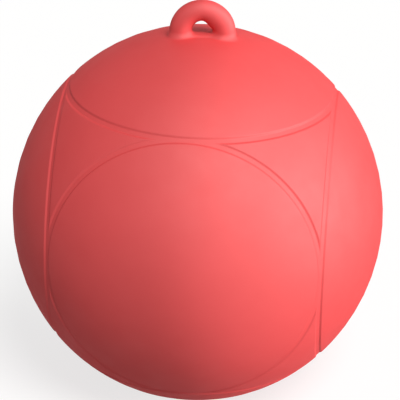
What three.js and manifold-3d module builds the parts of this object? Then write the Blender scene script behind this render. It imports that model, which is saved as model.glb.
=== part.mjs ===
// Slalom buoy: an inflated soft-vinyl ball with six round panels and a rope eye
// moulded on top, and a flush needle valve in the pole opposite the eye.
// Millimetres. +Z runs up through the eye, and -Y is the front panel.
// The origin is at the lowest point of the ball.

import * as THREE from 'three';
import { mergeVertices } from 'three/addons/utils/BufferGeometryUtils.js';
import Module from 'manifold-3d';

// Ball
const ballRadius = 101.6;
const ballHeightRatio = 1.021;
const ballSegmentsAround = 48;
const ballSegmentsUp = 24;

// Panels and the channels between them
const panelHalfAngleDeg = 45;
const channelTopWidth = 4.2;
const channelFloorWidth = 1.8;
const channelDepth = 0.9;
const panelSegments = 48;
const panelArcSteps = 6;
const cutterOvershoot = 2.0;
const capOverlap = 0.5;

// Rope eye: a round bar bent to a ring and sunk a little under half in the ball
const eyeRingRadius = 12.0;
const eyeBarRadius = 6.0;
const eyeCentreRise = 1.6;
const eyeLeanDeg = 8.0;
const eyeRingSegments = 40;
const eyeBarSegments = 20;

// Fillets where the eye's two legs run out into the ball
const footFilletRadius = 4.6;
const footCoreInset = 0.7;
const footSeatDepth = 0.7;
const footSinkDepth = 4.0;
const footSegments = 24;
const footArcSteps = 5;

// Low pad that fills the ground between the two legs
const padRise = 1.5;
const padHalfWidth = 6.2;
const padSinkDepth = 6.0;
const padEdgeRound = 1.2;

// Needle valve and its stepped socket
const valveHeadRadius = 7.0;
const valveHeadThickness = 2.4;
const valveStemRadius = 4.6;
const valveStemLength = 11.0;
const valveNeedleHoleRadius = 0.9;
const valveNeedleHoleDepth = 8.0;
const valveDimpleRadius = 2.6;
const valveDimpleDepth = 0.8;
const valveFit = 0.3;
const valveSegments = 28;

const ballHeightRadius = ballRadius * ballHeightRatio;
const deg = Math.PI / 180;

// Solids
const wasm = await Module();
wasm.setup();

function toSolid(geometry) {
  const bare = geometry.index ? geometry.toNonIndexed() : geometry.clone();
  bare.deleteAttribute('normal');
  bare.deleteAttribute('uv');
  const welded = mergeVertices(bare, 1e-4);
  const vertProperties = new Float32Array(welded.attributes.position.array);
  const triVerts = [];
  const index = welded.index.array;
  for (let i = 0; i < index.length; i += 3) {
    const a = index[i];
    const b = index[i + 1];
    const c = index[i + 2];
    if (a !== b && b !== c && c !== a) {
      triVerts.push(a, b, c);
    }
  }
  return new wasm.Manifold(new wasm.Mesh({
    numProp: 3,
    vertProperties,
    triVerts: new Uint32Array(triVerts),
  }));
}

function toGeometry(solid) {
  const mesh = solid.getMesh();
  const geometry = new THREE.BufferGeometry();
  const positions = new Float32Array(mesh.vertProperties);
  geometry.setAttribute('position', new THREE.BufferAttribute(positions, 3));
  geometry.setIndex(new THREE.BufferAttribute(new Uint32Array(mesh.triVerts), 1));
  geometry.computeVertexNormals();
  return geometry;
}

// Turns a lathe profile given as [radius, height] about the Z axis.
function latheZ(profile, segments) {
  const points = profile.map(([r, h]) => new THREE.Vector2(r, h));
  const geometry = new THREE.LatheGeometry(points, segments);
  geometry.rotateX(Math.PI / 2);
  return geometry;
}

// The channel's section is set out on a circle at panelHalfAngleDeg from the panel's
// axis: side runs along the skin away from the panel, height runs out of the ball.
function channelPoint(side, height) {
  const a = panelHalfAngleDeg * deg;
  const r = ballRadius + height;
  return [
    Math.sin(a) * r + Math.cos(a) * side,
    Math.cos(a) * r - Math.sin(a) * side,
  ];
}

// What is cut away for one panel and its channel: everything outside the channel's
// floor, out to the channel's far wall.
function panelCutter() {
  const floorHalf = channelFloorWidth / 2;
  const wallSlope = (channelTopWidth - channelFloorWidth) / 2 / channelDepth;
  const farTop = floorHalf + wallSlope * (channelDepth + cutterOvershoot);
  const floorInner = channelPoint(-channelTopWidth, -channelDepth);
  const top = channelPoint(farTop, cutterOvershoot);
  return latheZ([
    [0, floorInner[1]],
    floorInner,
    channelPoint(floorHalf, -channelDepth),
    top,
    [top[0], ballRadius + cutterOvershoot],
    [0, ballRadius + cutterOvershoot],
  ], panelSegments);
}

// The raised panel that goes back in, with the channel's near wall as its rim.
function panelCap() {
  const floorHalf = channelFloorWidth / 2;
  const wallSlope = (channelTopWidth - channelFloorWidth) / 2 / channelDepth;
  const below = -channelDepth - capOverlap;
  const rimAngle = panelHalfAngleDeg * deg - channelTopWidth / 2 / ballRadius;
  const foot = channelPoint(-floorHalf + wallSlope * capOverlap, below);
  const profile = [[0, foot[1] - channelTopWidth * 2], foot];
  for (let i = 0; i <= panelArcSteps; i += 1) {
    const t = rimAngle * (1 - i / panelArcSteps);
    profile.push([ballRadius * Math.sin(t), ballRadius * Math.cos(t)]);
  }
  profile[profile.length - 1][0] = 0;
  return latheZ(profile, panelSegments);
}

function groovedBall() {
  const sphere = new THREE.SphereGeometry(ballRadius, ballSegmentsAround, ballSegmentsUp);
  sphere.rotateX(Math.PI / 2);
  let solid = toSolid(sphere);
  const turns = [
    [0, 0],
    [Math.PI, 0],
    [Math.PI / 2, 0],
    [-Math.PI / 2, 0],
    [0, Math.PI / 2],
    [0, -Math.PI / 2],
  ];
  const placed = (geometry, [aboutX, aboutY]) => {
    geometry.rotateX(aboutX);
    geometry.rotateY(aboutY);
    return toSolid(geometry);
  };
  for (const turn of turns) {
    solid = solid.subtract(placed(panelCutter(), turn));
  }
  for (const turn of turns) {
    solid = solid.add(placed(panelCap(), turn));
  }
  const geometry = toGeometry(solid);
  geometry.scale(1, 1, ballHeightRatio);
  return toSolid(geometry);
}

// Eye ring, leaned a little about the top of the ball
function eyeRing() {
  const ring = new THREE.TorusGeometry(
    eyeRingRadius,
    eyeBarRadius,
    eyeBarSegments,
    eyeRingSegments,
  );
  ring.rotateX(Math.PI / 2);
  ring.translate(0, 0, eyeCentreRise);
  ring.rotateY(-eyeLeanDeg * deg);
  ring.translate(0, 0, ballHeightRadius);
  return toSolid(ring);
}

// The fillet stands square to the ball's skin, where the leg comes out of it.
function footFillet(side) {
  const core = eyeBarRadius - footCoreInset;
  const profile = [
    [0, -footSinkDepth],
    [core + footFilletRadius, -footSinkDepth],
  ];
  for (let i = 0; i <= footArcSteps; i += 1) {
    const t = (i / footArcSteps) * Math.PI / 2;
    const r = core + footFilletRadius * (1 - Math.sin(t));
    const h = footFilletRadius * (1 - Math.cos(t));
    profile.push([r, h]);
  }
  profile.push([0, footFilletRadius]);
  const skirt = latheZ(profile, footSegments);
  skirt.translate(0, 0, ballHeightRadius - footSeatDepth);
  skirt.rotateY(side * Math.asin(eyeRingRadius / ballRadius));
  return toSolid(skirt);
}

function eyePad() {
  const half = padHalfWidth - padEdgeRound;
  const shape = new THREE.Shape();
  shape.moveTo(-eyeRingRadius, -half);
  shape.lineTo(eyeRingRadius, -half);
  shape.absarc(eyeRingRadius, 0, half, -Math.PI / 2, Math.PI / 2, false);
  shape.lineTo(-eyeRingRadius, half);
  shape.absarc(-eyeRingRadius, 0, half, Math.PI / 2, Math.PI * 1.5, false);
  const pad = new THREE.ExtrudeGeometry(shape, {
    depth: padRise + padSinkDepth - 2 * padEdgeRound,
    bevelEnabled: true,
    bevelThickness: padEdgeRound,
    bevelSize: padEdgeRound,
    bevelSegments: 3,
    curveSegments: 12,
  });
  pad.translate(0, 0, ballHeightRadius + padEdgeRound - padSinkDepth);
  return toSolid(pad);
}

function ropeEye() {
  return eyeRing().add(footFillet(-1)).add(footFillet(1)).add(eyePad());
}

// Needle valve, turned about the vertical axis with its face at the ball's skin
function skinDrop(r) {
  return ballHeightRadius * (1 - Math.sqrt(1 - (r / ballRadius) ** 2));
}

function valvePlug() {
  const shoulder = valveHeadThickness;
  const stemEnd = valveHeadThickness + valveStemLength;
  const midRadius = (valveDimpleRadius + valveHeadRadius) / 2;
  return latheZ([
    [0, valveNeedleHoleDepth],
    [valveNeedleHoleRadius, valveNeedleHoleDepth],
    [valveNeedleHoleRadius, valveDimpleDepth],
    [valveDimpleRadius, skinDrop(valveDimpleRadius)],
    [midRadius, skinDrop(midRadius)],
    [valveHeadRadius, skinDrop(valveHeadRadius)],
    [valveHeadRadius, shoulder],
    [valveStemRadius, shoulder],
    [valveStemRadius, stemEnd - 1],
    [valveStemRadius - 1, stemEnd],
    [0, stemEnd],
  ], valveSegments);
}

function valveSocket() {
  const shoulder = valveHeadThickness + valveFit;
  const depth = valveHeadThickness + valveStemLength + valveFit;
  return toSolid(latheZ([
    [0, -2],
    [valveHeadRadius + valveFit, -2],
    [valveHeadRadius + valveFit, shoulder],
    [valveStemRadius + valveFit, shoulder],
    [valveStemRadius + valveFit, depth],
    [0, depth],
  ], valveSegments));
}

// Body: the ball and its eye are one moulding, with the socket sunk in the far pole
const lifted = toGeometry(groovedBall().add(ropeEye()));
lifted.translate(0, 0, ballHeightRadius);
const bodySolid = toSolid(lifted).subtract(valveSocket());

// Materials
const vinylRed = new THREE.MeshStandardMaterial({
  name: 'vinyl_red',
  color: 0xe0433f,
  roughness: 0.5,
  metalness: 0,
});
const valveRubber = new THREE.MeshStandardMaterial({
  name: 'valve_rubber',
  color: 0x26262a,
  roughness: 0.65,
  metalness: 0,
});

const buoy = new THREE.Group();

const body = new THREE.Mesh(toGeometry(bodySolid), vinylRed);
body.name = 'buoy_body';
buoy.add(body);

const plug = new THREE.Mesh(toGeometry(toSolid(valvePlug())), valveRubber);
plug.name = 'valve_plug';
buoy.add(plug);

export default buoy;
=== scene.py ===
# Slalom buoy: the fine surface, materials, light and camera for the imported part.
# Lengths in the driving values are millimetres. The scene itself is in metres.

import math

import bpy
import numpy as np
from mathutils import Matrix, Vector
from mathutils.geometry import delaunay_2d_cdt


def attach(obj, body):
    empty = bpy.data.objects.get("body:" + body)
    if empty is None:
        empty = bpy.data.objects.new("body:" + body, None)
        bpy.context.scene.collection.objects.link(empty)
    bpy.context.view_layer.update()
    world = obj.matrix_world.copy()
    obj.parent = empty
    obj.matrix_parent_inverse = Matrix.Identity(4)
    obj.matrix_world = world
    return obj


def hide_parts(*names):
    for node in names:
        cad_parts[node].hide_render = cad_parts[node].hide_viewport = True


# Ball and channels. The edge round is a share of the channel wall's width.
BALL_RADIUS = 101.6
BALL_HEIGHT_RATIO = 1.021
PANEL_HALF_ANGLE = math.radians(45.0)
CHANNEL_TOP_WIDTH = 4.2
CHANNEL_FLOOR_WIDTH = 2.2
CHANNEL_DEPTH = 0.62
CHANNEL_EDGE_ROUND = 0.28

# Rope eye, a bar bent to a ring that leans to the left and is turned a little
EYE_RING_RADIUS = 11.5
EYE_BAR_RADIUS = 6.1
EYE_BAR_HALF_DEPTH = 5.1
EYE_CENTRE_RISE = 1.95
EYE_LEAN = math.radians(8.0)
EYE_TURN = math.radians(4.5)
EYE_FOOT_BLEND = 2.4

# Taken off half the bar's thickness at the crown, and added to it at the right shoulder
EYE_CROWN_THINNING = 0.45
EYE_SHOULDER = 0.45

# Low pad between the eye's feet
PAD_RISE = 1.0
PAD_THICKNESS = 8.0
PAD_HALF_WIDTH = 3.4
PAD_EDGE_ROUND = 1.2
PAD_BLEND = 1.8

# Needle valve
VALVE_HEAD_RADIUS = 7.0
VALVE_HEAD_THICKNESS = 2.4
VALVE_STEM_RADIUS = 4.6
VALVE_STEM_LENGTH = 11.0
VALVE_STEM_ROUND = 1.0
VALVE_HOLE_RADIUS = 0.9
VALVE_HOLE_DEPTH = 8.0
VALVE_HOLE_END_SHARE = 0.6
VALVE_DIMPLE_RADIUS = 2.6
VALVE_DIMPLE_DEPTH = 0.8
VALVE_CROWN_RADIUS = 4.2
VALVE_GROOVE_INNER = 5.4
VALVE_GROOVE_OUTER = 6.0
VALVE_GROOVE_WALL = 0.2
VALVE_GROOVE_DEPTH = 0.18
VALVE_CHAMFER = 0.15
VALVE_BEVEL = 0.3
VALVE_FIT = 0.3

# Rounded lips: pairs of how far out from a wall, and how far down from a face
HOLE_LIP = [(0.0, 0.35), (0.08, 0.15), (0.3, -0.05)]
DIMPLE_LIP = [(-0.4, 0.16), (-0.1, 0.05)]
HEAD_LIP = [(-0.1, 0.1), (0.0, 0.3)]
SOCKET_LIP = [(0.12, 0.33), (0.03, 0.45), (0.0, 0.6)]
DIMPLE_LIP_WIDTH = 0.2
HEAD_LIP_WIDTH = 0.35
SOCKET_LIP_WIDTH = 0.4
SOCKET_CHAMFER = 0.05

# Rows of a panel's mesh inside its channel
COLUMNS = 288
CAP_ROWS_DEG = [0.0, 5.0, 10.0, 16.0, 22.0, 28.0, 33.0, 37.0, 40.0]

# Rows close to each edge of a channel, farther from it, and on the panel beside it
EDGE_ROWS = [-0.3, -0.2, -0.1, 0.0, 0.1, 0.2, 0.3]
ROW_STEP = 0.6
RIM_ROW = 2.3

# Rows outside the channel, as shares of the way to the border with the next panels
FIELD_ROWS = [0.12, 0.28, 0.5, 0.75, 1.0]

# Mesh of the eye, whose tube starts at the angle with this sine
EYE_TUBE_AROUND = 72
EYE_TUBE_ALONG = 90
EYE_TUBE_START = 0.07

# Rings of points round each foot, by distance from the bar and spacing
FOOT_RINGS = [
    (0.38, 0.40), (0.80, 0.45), (1.25, 0.5), (1.75, 0.55), (2.3, 0.6), (2.9, 0.65),
    (3.6, 0.75), (4.4, 0.85), (5.3, 1.0), (6.4, 1.15), (7.7, 1.3),
]
FOOT_RING_LEAST = 24
FOOT_RING_STEP = 1.15
FOOT_RING_CLEAR = 0.72
FOOT_GAP = 0.3

# Patch of skin round the feet, filled with rings of points round the pole
PATCH_ANGLE = math.radians(16.0)
PATCH_RIM_GAP = 1.2
PATCH_RING_GAP = 1.1
PATCH_SPACING = 1.2
PATCH_CLEAR = 0.85
PATCH_FOOT_GAP = 0.5
PATCH_INNER_RADIUS = 1.0

# Share of the half height above which the skin can be eye or pad
EYE_ZONE = 0.8

# Other values of the meshes
VALVE_COLUMNS = 96
NORMAL_STEP = 0.02
SOCKET_MARGIN = 0.1
TINY = 1e-6

MM = 0.001
HALF_HEIGHT = BALL_RADIUS * BALL_HEIGHT_RATIO
STRETCH = np.array([1.0, 1.0, BALL_HEIGHT_RATIO])


# Shape of the ball
def soft_step(t, e):
    """0 below 0, 1 above 1, straight between, with rounded knees of half width e."""
    t = np.asarray(t, float)
    low = np.where(t < -e, 0.0, np.where(t < e, (t + e) ** 2 / (4 * e), t))
    return np.where(
        t > 1 + e, 1.0, np.where(t > 1 - e, 1 - (1 - t + e) ** 2 / (4 * e), low)
    )


def channel_sink(offset):
    """How far the skin is sunk at this distance from a channel's centre line."""
    top = CHANNEL_TOP_WIDTH / 2
    floor = CHANNEL_FLOOR_WIDTH / 2
    return CHANNEL_DEPTH * soft_step((top - offset) / (top - floor), CHANNEL_EDGE_ROUND)


def channel_offset(directions):
    """Distance along the skin from the nearest channel's centre line."""
    angle = np.arccos(np.clip(np.abs(directions), 0.0, 1.0))
    return np.abs(angle - PANEL_HALF_ANGLE).min(axis=1) * BALL_RADIUS


def ball_field(p):
    """Height over the ball's skin, channels included. p is from the ball's centre."""
    q = p / STRETCH
    r = np.linalg.norm(q, axis=1)
    offset = channel_offset(q / np.maximum(r, TINY)[:, None])
    return r - (BALL_RADIUS - channel_sink(offset))


# Shape of the eye, in axes of its own: across it, up it and through its hole
UPRIGHT = np.array([0.0, 0.0, 1.0])
TURN_ACROSS = np.array([math.cos(EYE_TURN), math.sin(EYE_TURN), 0.0])
TURN_THROUGH = np.array([-math.sin(EYE_TURN), math.cos(EYE_TURN), 0.0])
LEAN_ACROSS = math.cos(EYE_LEAN) * TURN_ACROSS + math.sin(EYE_LEAN) * UPRIGHT
LEAN_UP = math.cos(EYE_LEAN) * UPRIGHT - math.sin(EYE_LEAN) * TURN_ACROSS
EYE_CENTRE = np.array([0.0, 0.0, HALF_HEIGHT]) + LEAN_UP * EYE_CENTRE_RISE
FROM_ABOVE = np.column_stack([TURN_ACROSS, TURN_THROUGH])[:2]


def bar_radius(side, rise):
    """Half thickness of the bar seen from the front, by direction from the ring's centre.

    It is thinner at the crown than in the legs, and full at the right shoulder."""
    crown = np.maximum(rise, 0.0) ** 2
    shoulder = 2 * np.maximum(side, 0.0) * np.maximum(rise, 0.0)
    return EYE_BAR_RADIUS - EYE_CROWN_THINNING * crown + EYE_SHOULDER * shoulder ** 2


def ring_field(p):
    """Height over the bent bar. Its outer outline is a circle whatever its thickness."""
    v = p - EYE_CENTRE
    across = v @ LEAN_ACROSS
    up = v @ LEAN_UP
    reach = np.maximum(np.hypot(across, up), TINY)
    half = bar_radius(across / reach, up / reach)
    middle = EYE_RING_RADIUS + EYE_BAR_RADIUS - half
    out = (reach - middle) * EYE_BAR_HALF_DEPTH / half
    return np.hypot(out, v @ TURN_THROUGH) - EYE_BAR_HALF_DEPTH


def pad_field(p):
    """Height over the pad, a block with rounded edges under the eye's hole."""
    half_height = PAD_THICKNESS / 2
    centre = HALF_HEIGHT + PAD_RISE - half_height
    x = np.abs(p @ TURN_ACROSS) - (EYE_RING_RADIUS - PAD_EDGE_ROUND)
    y = np.abs(p @ TURN_THROUGH) - (PAD_HALF_WIDTH - PAD_EDGE_ROUND)
    z = np.abs(p[:, 2] - centre) - (half_height - PAD_EDGE_ROUND)
    d = np.stack([x, y, z], axis=1)
    outside = np.linalg.norm(np.maximum(d, 0.0), axis=1)
    inside = np.minimum(d.max(axis=1), 0.0)
    return outside + inside - PAD_EDGE_ROUND


def blend_min(a, b, k):
    """The lower of two heights, run together with a fillet of size k."""
    h = np.clip(0.5 + 0.5 * (b - a) / k, 0.0, 1.0)
    return b * (1 - h) + a * h - k * h * (1 - h)


def skin_field(p):
    """Ball, pad and ring run together with a fillet where they meet."""
    f = ball_field(p)
    near = p[:, 2] > HALF_HEIGHT * EYE_ZONE
    if near.any():
        q = p[near]
        g = blend_min(f[near], pad_field(q), PAD_BLEND)
        f[near] = blend_min(g, ring_field(q), EYE_FOOT_BLEND)
    return f


def field_gradient(p, step=0.03):
    """Slope of the skin's field at each point."""
    g = np.zeros_like(p)
    for axis in range(3):
        d = np.zeros(3)
        d[axis] = step
        g[:, axis] = skin_field(p + d) - skin_field(p - d)
    return g / (2 * step)


def settle(p, rounds=14):
    """Moves points along the field's gradient until they lie on the skin."""
    p = p.copy()
    for _ in range(rounds):
        g = field_gradient(p)
        p -= g * (skin_field(p) / np.maximum((g * g).sum(axis=1), TINY))[:, None]
    return p


# Mesh store, with points merged by place at the end
class Store:
    def __init__(self):
        self.points = []
        self.faces = []
        self.count = 0

    def add(self, points):
        start = self.count
        self.points.append(np.asarray(points, float))
        self.count += len(points)
        return np.arange(start, self.count)

    def merged(self, grid=2e-4):
        points = np.concatenate(self.points)
        keys = np.round(points / grid).astype(np.int64)
        _, first, back = np.unique(keys, axis=0, return_index=True, return_inverse=True)
        back = np.asarray(back).reshape(-1)
        faces = []
        for face in self.faces:
            ids = []
            for i in face:
                m = int(back[i])
                if m not in ids:
                    ids.append(m)
            if len(ids) > 2:
                faces.append(ids)
        return points[first], faces


def join_rings(store, rings):
    """Faces between each ring of point numbers and the next one, facing the side from
    which rings that widen run counterclockwise."""
    for a, b in zip(rings[:-1], rings[1:]):
        n = len(a)
        for j in range(n):
            k = (j + 1) % n
            store.faces.append((a[j], b[j], b[k], a[k]))


# Mesh of the ball
def channel_rows():
    """Distances of the rows in and beside a channel from its centre line."""
    floor = CHANNEL_FLOOR_WIDTH / 2
    top = CHANNEL_TOP_WIDTH / 2
    side = [floor - ROW_STEP]
    side += [floor + step for step in EDGE_ROWS]
    side += [(floor + top) / 2]
    side += [top + step for step in EDGE_ROWS]
    side += [top + ROW_STEP, top + 2 * ROW_STEP]
    return [-top - RIM_ROW] + [-d for d in reversed(side)] + [0.0] + side


def panel_rows(start_angle):
    """Angles from the panel's axis, one row of COLUMNS values each."""
    turn = np.arange(COLUMNS) * 2 * math.pi / COLUMNS
    border = np.arctan(1.0 / np.maximum(np.abs(np.cos(turn)), np.abs(np.sin(turn))))
    rows = [np.full(COLUMNS, start_angle)]
    for cap in CAP_ROWS_DEG:
        a = math.radians(cap)
        if a > start_angle + TINY:
            rows.append(np.full(COLUMNS, a))
    for offset in channel_rows():
        a = PANEL_HALF_ANGLE + offset / BALL_RADIUS
        rows.append(np.minimum(a, border))
    last = rows[-1]
    for share in FIELD_ROWS:
        rows.append(last + (border - last) * share)
    return turn, rows


def skin_points(directions):
    """Points on the ball's skin in these directions, vertical stretch included."""
    r = BALL_RADIUS - channel_sink(channel_offset(directions))
    return directions * r[:, None] * STRETCH


def add_panel(store, axis, start_angle):
    """axis is one of the six directions. Returns the point numbers of the first row."""
    axis = np.array(axis, float)
    side = np.roll(np.abs(axis), 1)
    other = np.cross(axis, side)
    turn, rows = panel_rows(start_angle)
    numbers = []
    for a in rows:
        d = (
            np.cos(a)[:, None] * axis
            + (np.sin(a) * np.cos(turn))[:, None] * side
            + (np.sin(a) * np.sin(turn))[:, None] * other
        )
        numbers.append(store.add(skin_points(d)))
    join_rings(store, numbers)
    return numbers[0]


def add_socket(store, mouth):
    """The stepped blind socket for the valve, lathed down from the mouth row."""
    start = np.concatenate(store.points)[mouth]
    turn = np.arctan2(start[:, 1], start[:, 0])
    head = VALVE_HEAD_RADIUS + VALVE_FIT
    stem = VALVE_STEM_RADIUS + VALVE_FIT
    shoulder = VALVE_HEAD_THICKNESS + VALVE_FIT
    depth = VALVE_HEAD_THICKNESS + VALVE_STEM_LENGTH + VALVE_FIT
    profile = [(head + out, down) for out, down in SOCKET_LIP]
    profile += [
        (head, shoulder - SOCKET_CHAMFER),
        (head - SOCKET_CHAMFER, shoulder),
        (stem + SOCKET_CHAMFER, shoulder),
        (stem, shoulder + SOCKET_CHAMFER),
        (stem, depth),
        (0.0, depth),
    ]
    rings = [mouth]
    for r, d in profile:
        height = np.full(COLUMNS, d - HALF_HEIGHT)
        ring = np.stack([r * np.cos(turn), r * np.sin(turn), height], axis=1)
        rings.append(store.add(ring))
    join_rings(store, rings[::-1])


# Mesh of the eye
def eye_rings():
    """Rings of points round the bar, from the right leg over the crown to the left leg."""
    start = math.asin(EYE_TUBE_START)
    along = np.linspace(start - EYE_LEAN, math.pi - start - EYE_LEAN, EYE_TUBE_ALONG)
    around = np.arange(EYE_TUBE_AROUND) * 2 * math.pi / EYE_TUBE_AROUND
    rings = []
    for a in along:
        out = math.cos(a) * LEAN_ACROSS + math.sin(a) * LEAN_UP
        centre = EYE_CENTRE + out * EYE_RING_RADIUS
        rings.append(
            centre
            + EYE_BAR_RADIUS * np.cos(around)[:, None] * out
            + EYE_BAR_HALF_DEPTH * np.sin(around)[:, None] * TURN_THROUGH
        )
    return rings


def foot_size(leg):
    """Centre of a leg's lowest ring, and its half widths in the eye's axes, from above."""
    return leg.mean(axis=0)[:2], np.ptp(leg[:, :2] @ FROM_ABOVE, axis=0) / 2


def near_foot(p, feet, gap):
    """Whether a point from above is inside a foot, or within this gap of one."""
    return any(
        np.hypot(*((p - centre) @ FROM_ABOVE / (half + gap))) < 1.0 for centre, half in feet
    )


def fill_patch(taken, feet):
    """Adds points from above to those taken: rings round the feet, then round the pole."""
    rim = BALL_RADIUS * math.sin(PATCH_ANGLE)
    slim = EYE_BAR_HALF_DEPTH - EYE_BAR_RADIUS

    def add(p, clear):
        if np.hypot(*(np.array(taken) - p).T).min() > clear:
            taken.append(p)

    for grow, spacing in FOOT_RINGS:
        r = EYE_BAR_RADIUS + grow
        n = max(FOOT_RING_LEAST, int(2 * math.pi * r / (spacing * FOOT_RING_STEP)))
        for centre, _ in feet:
            for j in range(n):
                t = 2 * math.pi * j / n
                p = centre + np.array([r * math.cos(t), (r + slim) * math.sin(t)])
                inside = np.hypot(*p) <= rim - PATCH_RIM_GAP
                if inside and not near_foot(p, feet, FOOT_GAP):
                    add(p, spacing * FOOT_RING_CLEAR)

    rings = int((rim - PATCH_INNER_RADIUS) / PATCH_RING_GAP)
    for ring in range(1, rings + 1):
        r = rim - ring * PATCH_RING_GAP
        n = int(2 * math.pi * r / PATCH_SPACING)
        for j in range(n):
            t = 2 * math.pi * (j + 0.5 * (ring % 2)) / n
            p = np.array([r * math.cos(t), r * math.sin(t)])
            if not near_foot(p, feet, PATCH_FOOT_GAP):
                add(p, PATCH_CLEAR)


def add_patch(store, border, legs, leg_numbers):
    """The skin between the panel's first row and the eye's two legs."""
    edge = np.concatenate(store.points)[border]
    feet = [foot_size(leg) for leg in legs]
    fixed = [edge[:, :2]] + [leg[:, :2] for leg in legs]
    taken = list(np.concatenate(fixed))
    fill_patch(taken, feet)
    flat = np.array(taken)
    loops = []
    start = 0
    for loop in fixed:
        n = len(loop)
        loops += [(start + j, start + (j + 1) % n) for j in range(n)]
        start += n
    out = delaunay_2d_cdt([Vector(p) for p in flat], loops, [], 0, TINY)
    corners, _, triangles, origins = out[:4]
    source = [o[0] if o else -1 for o in origins]
    free = flat[start:]
    height = HALF_HEIGHT * np.sqrt(1 - (free ** 2).sum(axis=1) / BALL_RADIUS ** 2)
    ground = store.add(settle(np.column_stack([free, height])))
    lookup = np.concatenate([border, *leg_numbers, ground])
    for triangle in triangles:
        middle = np.mean([list(corners[i]) for i in triangle], axis=0)
        on_legs = all(len(edge) <= source[i] < start for i in triangle)
        on_edge = all(source[i] < len(edge) for i in triangle)
        if on_edge or (on_legs and near_foot(middle, feet, 0.0)):
            continue
        store.faces.append(tuple(int(lookup[source[i]]) for i in triangle))


def add_eye(store, border):
    """The eye: a bent tube, and the skin round its feet."""
    rings = eye_rings()
    tube = store.add(settle(np.concatenate(rings)))
    tube = tube.reshape(EYE_TUBE_ALONG, EYE_TUBE_AROUND)
    join_rings(store, tube[::-1])
    add_patch(store, border, [rings[0], rings[-1]], [tube[0], tube[-1]])


def new_piece(name, points, faces):
    """A smooth piece from points in millimetres."""
    mesh = bpy.data.meshes.new(name)
    mesh.from_pydata((points * MM).tolist(), [], faces)
    mesh.update()
    for polygon in mesh.polygons:
        polygon.use_smooth = True
    piece = bpy.data.objects.new(name, mesh)
    bpy.context.scene.collection.objects.link(piece)
    return piece


def build_skin():
    store = Store()
    mouth = VALVE_HEAD_RADIUS + VALVE_FIT + SOCKET_LIP_WIDTH
    first_angles = {
        (1, 0, 0): 0.0,
        (-1, 0, 0): 0.0,
        (0, 1, 0): 0.0,
        (0, -1, 0): 0.0,
        (0, 0, 1): PATCH_ANGLE,
        (0, 0, -1): math.asin(mouth / BALL_RADIUS),
    }
    borders = {axis: add_panel(store, axis, a) for axis, a in first_angles.items()}
    add_eye(store, borders[(0, 0, 1)])
    add_socket(store, borders[(0, 0, -1)])
    points, faces = store.merged()
    skin = new_piece("buoy_skin", points + UPRIGHT * HALF_HEIGHT, faces)
    mesh = skin.data

    # The normals come from the field, but in the socket they come from the mesh
    normals = field_gradient(points, NORMAL_STEP)
    normals /= np.linalg.norm(normals, axis=1)[:, None]
    own = np.zeros(len(mesh.vertices) * 3)
    mesh.vertices.foreach_get("normal", own)
    near_pole = np.hypot(points[:, 0], points[:, 1]) < mouth + SOCKET_MARGIN
    socket = near_pole & (points[:, 2] < 0.0)
    normals[socket] = own.reshape(-1, 3)[socket]
    mesh.normals_split_custom_set_from_vertices(normals.tolist())
    return skin


# Mesh of the valve
def skin_drop(r):
    """How far the ball's skin has dropped at this distance from the pole's axis."""
    return HALF_HEIGHT * (1 - math.sqrt(1 - (r / BALL_RADIUS) ** 2))


def on_crown(r, down=0.0):
    """A point of the valve's profile on its crown, which is flush with the skin."""
    return r, skin_drop(r) + down


def valve_profile():
    """Radius and depth of the valve's points, from its needle hole to its stem's end."""
    hole = VALVE_HOLE_RADIUS
    head = VALVE_HEAD_RADIUS
    stem = VALVE_STEM_RADIUS
    shoulder = VALVE_HEAD_THICKNESS
    end = VALVE_HEAD_THICKNESS + VALVE_STEM_LENGTH
    points = [
        (0.0, VALVE_HOLE_DEPTH),
        (hole * VALVE_HOLE_END_SHARE, VALVE_HOLE_DEPTH),
        (hole, VALVE_HOLE_DEPTH - VALVE_BEVEL),
    ]
    points += [(hole + out, VALVE_DIMPLE_DEPTH + down) for out, down in HOLE_LIP]
    for out, down in DIMPLE_LIP:
        points.append((VALVE_DIMPLE_RADIUS + out, skin_drop(VALVE_DIMPLE_RADIUS) + down))
    points += [
        on_crown(VALVE_DIMPLE_RADIUS + DIMPLE_LIP_WIDTH),
        on_crown(VALVE_CROWN_RADIUS),
        on_crown(VALVE_GROOVE_INNER),
        on_crown(VALVE_GROOVE_INNER + VALVE_GROOVE_WALL, VALVE_GROOVE_DEPTH),
        on_crown(VALVE_GROOVE_OUTER - VALVE_GROOVE_WALL, VALVE_GROOVE_DEPTH),
        on_crown(VALVE_GROOVE_OUTER),
        on_crown(head - HEAD_LIP_WIDTH),
    ]
    points += [(head + out, skin_drop(head) + down) for out, down in HEAD_LIP]
    points += [
        (head, shoulder - VALVE_CHAMFER),
        (head - VALVE_CHAMFER, shoulder),
        (stem, shoulder),
        (stem, end - VALVE_STEM_ROUND),
        (stem - VALVE_BEVEL, end - VALVE_BEVEL),
        (stem - VALVE_STEM_ROUND, end),
        (0.0, end),
    ]
    return points


def build_valve():
    store = Store()
    turn = np.arange(VALVE_COLUMNS) * 2 * math.pi / VALVE_COLUMNS
    rings = []
    for r, d in valve_profile():
        height = np.full(VALVE_COLUMNS, d)
        ring = np.stack([r * np.cos(turn), r * np.sin(turn), height], axis=1)
        rings.append(store.add(ring))
    join_rings(store, rings)
    return new_piece("valve_button", *store.merged())


# Materials
def new_material(name):
    material = bpy.data.materials.new(name)
    material.use_nodes = True
    nodes = material.node_tree.nodes
    return material, nodes, material.node_tree.links, nodes["Principled BSDF"]


def noise(nodes, links, place, scale, detail, rough):
    """Values of a noise texture, most of them within NOISE_RANGE."""
    node = nodes.new("ShaderNodeTexNoise")
    node.inputs["Scale"].default_value = scale
    node.inputs["Detail"].default_value = detail
    node.inputs["Roughness"].default_value = rough
    links.new(place, node.inputs["Vector"])
    return node.outputs["Fac"]


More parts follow.
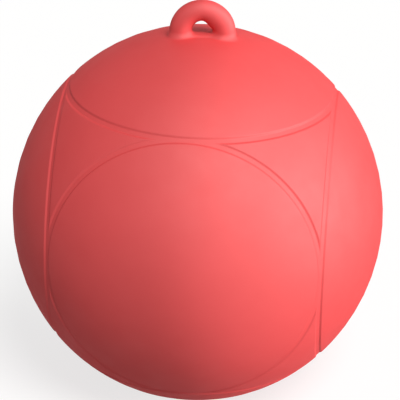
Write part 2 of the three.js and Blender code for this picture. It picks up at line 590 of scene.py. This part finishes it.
def ramp(nodes, links, value, stops):
    """Colours between two stops, each a value and its colour."""
    node = nodes.new("ShaderNodeValToRGB")
    for element, (at, colour) in zip(node.color_ramp.elements, stops):
        element.position = at
        element.color = (*colour, 1.0)
    links.new(value, node.inputs["Fac"])
    return node.outputs["Color"]


def spread(nodes, links, value, source, target):
    """Maps a value from one range to another."""
    node = nodes.new("ShaderNodeMapRange")
    node.inputs["From Min"].default_value = source[0]
    node.inputs["From Max"].default_value = source[1]
    node.inputs["To Min"].default_value = target[0]
    node.inputs["To Max"].default_value = target[1]
    links.new(value, node.inputs["Value"])
    return node.outputs["Result"]


def bump(nodes, links, height, strength, distance):
    node = nodes.new("ShaderNodeBump")
    node.inputs["Strength"].default_value = strength
    node.inputs["Distance"].default_value = distance
    links.new(height, node.inputs["Height"])
    return node


# Colours and finish
NOISE_RANGE = (0.3, 0.7)
VINYL_TINTS = [
    (0.30, (0.676, 0.050, 0.052)),
    (0.70, (0.738, 0.058, 0.061)),
]
VINYL_ROUGHNESS = (0.66, 0.74)
VINYL_GLOSS_FACING_AND_EDGE = (1.1, 0.1)
VALVE_TINTS = [
    (0.35, (0.016, 0.016, 0.018)),
    (0.75, (0.034, 0.034, 0.036)),
]
VALVE_ROUGHNESS = 0.62


def vinyl_material():
    """Red vinyl: a faint mottle, a fine moulded grain over slow ripples, and a gloss
    that fades towards the outline."""
    material, nodes, links, shader = new_material("vinyl_red")
    place = nodes.new("ShaderNodeTexCoord").outputs["Object"]
    mottle = noise(nodes, links, place, scale=14.0, detail=3.0, rough=0.55)
    links.new(ramp(nodes, links, mottle, VINYL_TINTS), shader.inputs["Base Color"])
    cloud = noise(nodes, links, place, scale=60.0, detail=4.0, rough=0.6)
    dull = spread(nodes, links, cloud, NOISE_RANGE, VINYL_ROUGHNESS)
    links.new(dull, shader.inputs["Roughness"])
    edge = nodes.new("ShaderNodeLayerWeight")
    edge.inputs["Blend"].default_value = 0.5
    facing = edge.outputs["Facing"]
    gloss = spread(nodes, links, facing, (0.0, 1.0), VINYL_GLOSS_FACING_AND_EDGE)
    links.new(gloss, shader.inputs["Specular IOR Level"])
    grain = noise(nodes, links, place, scale=1500.0, detail=2.0, rough=0.5)
    ripple = noise(nodes, links, place, scale=90.0, detail=2.0, rough=0.5)
    fine = bump(nodes, links, grain, strength=0.12, distance=0.00012)
    broad = bump(nodes, links, ripple, strength=0.25, distance=0.0003)
    links.new(fine.outputs["Normal"], broad.inputs["Normal"])
    links.new(broad.outputs["Normal"], shader.inputs["Normal"])
    return material


def valve_material():
    """Dark rubber with a little dust in its grain."""
    material, nodes, links, shader = new_material("valve_rubber")
    place = nodes.new("ShaderNodeTexCoord").outputs["Object"]
    dust = noise(nodes, links, place, scale=420.0, detail=4.0, rough=0.6)
    links.new(ramp(nodes, links, dust, VALVE_TINTS), shader.inputs["Base Color"])
    shader.inputs["Roughness"].default_value = VALVE_ROUGHNESS
    grain = noise(nodes, links, place, scale=2600.0, detail=2.0, rough=0.5)
    fine = bump(nodes, links, grain, strength=0.3, distance=0.0001)
    links.new(fine.outputs["Normal"], shader.inputs["Normal"])
    return material


# Camera, fitted to the photograph, with BALL_AT the pixel of the ball's centre
CAMERA_AZIMUTH = math.radians(5.6)
CAMERA_ELEVATION = math.radians(25.2)
CAMERA_ROLL = math.radians(1.65)
CAMERA_DISTANCE = 11.0 * BALL_RADIUS * MM
FOCAL_PIXELS = 2027.7
IMAGE_SIZE = 400.0
BALL_AT = (197.8, 212.15)
SENSOR_WIDTH = 36.0
CLIP_START = 0.01


def camera_axes():
    """Directions back to the camera, and to the right and up in its picture."""
    back = Vector((
        math.sin(CAMERA_AZIMUTH) * math.cos(CAMERA_ELEVATION),
        -math.cos(CAMERA_AZIMUTH) * math.cos(CAMERA_ELEVATION),
        math.sin(CAMERA_ELEVATION),
    ))
    level = Vector((math.cos(CAMERA_AZIMUTH), math.sin(CAMERA_AZIMUTH), 0.0))
    rise = back.cross(level)
    right = math.cos(CAMERA_ROLL) * level + math.sin(CAMERA_ROLL) * rise
    up = -math.sin(CAMERA_ROLL) * level + math.cos(CAMERA_ROLL) * rise
    return back, right, up


def add_camera():
    back, right, up = camera_axes()
    centre = Vector((0.0, 0.0, HALF_HEIGHT * MM))
    data = bpy.data.cameras.new("camera")
    data.sensor_width = SENSOR_WIDTH
    data.lens = FOCAL_PIXELS / IMAGE_SIZE * SENSOR_WIDTH
    camera = bpy.data.objects.new("camera", data)
    bpy.context.scene.collection.objects.link(camera)
    place = centre + back * CAMERA_DISTANCE
    scale = CAMERA_DISTANCE / FOCAL_PIXELS
    aim = (
        centre
        - right * (BALL_AT[0] - IMAGE_SIZE / 2) * scale
        + up * (BALL_AT[1] - IMAGE_SIZE / 2) * scale
    )
    z = (place - aim).normalized()
    x = (up.cross(z)).normalized()
    y = z.cross(x)
    camera.matrix_world = Matrix((
        (x.x, y.x, z.x, place.x),
        (x.y, y.y, z.y, place.y),
        (x.z, y.z, z.z, place.z),
        (0.0, 0.0, 0.0, 1.0),
    ))
    data.clip_start = CLIP_START
    bpy.context.scene.camera = camera


# Lamps, very broad and soft: direction in degrees, width in degrees, strength, colour
LAMPS = [
    ("key", (-3.6, 6.2), 18.0, 3.7, (1.0, 0.99, 0.97)),
    ("top", (-62.0, 51.3), 26.0, 2.55, (1.0, 0.99, 0.97)),
]


def add_lamps():
    for name, (azimuth, elevation), width, strength, colour in LAMPS:
        a = math.radians(azimuth)
        e = math.radians(elevation)
        data = bpy.data.lights.new(name, "SUN")
        data.angle = math.radians(width)
        data.energy = strength
        data.color = colour
        lamp = bpy.data.objects.new(name, data)
        bpy.context.scene.collection.objects.link(lamp)
        source = Vector((math.cos(e) * math.cos(a), math.cos(e) * math.sin(a), math.sin(e)))
        lamp.rotation_euler = source.to_track_quat("Z", "Y").to_euler()


# Backdrop: the floor and the sky look white, and light the object at a plain level
WORLD_LIGHT = 0.2
FLOOR_COLOUR = 0.27
FLOOR_GLOW = 0.74
FLOOR_ROUGHNESS = 0.9
FLOOR_HALF_SIZE = 6.0
FLOOR_GAP = 0.0005


def seen_directly(nodes, links):
    """1 for rays from the camera, and for those that gloss and glass pass on."""
    path = nodes.new("ShaderNodeLightPath")
    total = path.outputs["Is Camera Ray"]
    for name in ("Is Glossy Ray", "Is Transmission Ray"):
        step = nodes.new("ShaderNodeMath")
        step.operation = "ADD"
        step.use_clamp = True
        links.new(total, step.inputs[0])
        links.new(path.outputs[name], step.inputs[1])
        total = step.outputs["Value"]
    return total


def add_world():
    """A sky that lights the object a little and that the camera and gloss see as white."""
    world = bpy.data.worlds.new("studio")
    bpy.context.scene.world = world
    world.use_nodes = True
    nodes = world.node_tree.nodes
    links = world.node_tree.links
    light = nodes["Background"]
    light.inputs["Color"].default_value = (1.0, 1.0, 1.0, 1.0)
    light.inputs["Strength"].default_value = WORLD_LIGHT
    seen = nodes.new("ShaderNodeBackground")
    seen.inputs["Color"].default_value = (1.0, 1.0, 1.0, 1.0)
    seen.inputs["Strength"].default_value = 1.0
    mix = nodes.new("ShaderNodeMixShader")
    links.new(seen_directly(nodes, links), mix.inputs["Fac"])
    links.new(light.outputs["Background"], mix.inputs[1])
    links.new(seen.outputs["Background"], mix.inputs[2])
    links.new(mix.outputs["Shader"], nodes["World Output"].inputs["Surface"])


def floor_material():
    """A pale floor that keeps the object's shadow and looks white to the camera."""
    material, nodes, links, shader = new_material("floor")
    shader.inputs["Base Color"].default_value = (FLOOR_COLOUR,) * 3 + (1.0,)
    shader.inputs["Roughness"].default_value = FLOOR_ROUGHNESS
    shader.inputs["Specular IOR Level"].default_value = 0.0
    scale = nodes.new("ShaderNodeMath")
    scale.operation = "MULTIPLY"
    scale.inputs[1].default_value = FLOOR_GLOW
    links.new(seen_directly(nodes, links), scale.inputs[0])
    glow = nodes.new("ShaderNodeEmission")
    glow.inputs["Color"].default_value = (1.0, 1.0, 1.0, 1.0)
    links.new(scale.outputs["Value"], glow.inputs["Strength"])
    both = nodes.new("ShaderNodeAddShader")
    links.new(shader.outputs["BSDF"], both.inputs[0])
    links.new(glow.outputs["Emission"], both.inputs[1])
    links.new(both.outputs["Shader"], nodes["Material Output"].inputs["Surface"])
    return material


def add_floor():
    mesh = bpy.data.meshes.new("floor")
    s = FLOOR_HALF_SIZE
    mesh.from_pydata([(-s, -s, 0), (s, -s, 0), (s, s, 0), (-s, s, 0)], [], [(0, 1, 2, 3)])
    mesh.materials.append(floor_material())
    floor = bpy.data.objects.new("floor", mesh)
    bpy.context.scene.collection.objects.link(floor)
    floor.location.z = -FLOOR_GAP


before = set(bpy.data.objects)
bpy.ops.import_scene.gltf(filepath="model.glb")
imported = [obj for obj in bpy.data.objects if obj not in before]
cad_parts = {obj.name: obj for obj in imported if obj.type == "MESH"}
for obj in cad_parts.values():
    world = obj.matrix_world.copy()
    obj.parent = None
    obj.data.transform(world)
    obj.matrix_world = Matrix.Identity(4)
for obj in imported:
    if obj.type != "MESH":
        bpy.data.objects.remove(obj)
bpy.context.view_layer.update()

skin = build_skin()
skin.data.materials.append(vinyl_material())
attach(skin, "root")
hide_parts("buoy_body")

valve = build_valve()
valve.data.materials.append(valve_material())
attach(valve, "root")
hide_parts("valve_plug")

add_floor()
add_lamps()
add_world()
add_camera()

bpy.context.scene.view_settings.view_transform = "Standard"
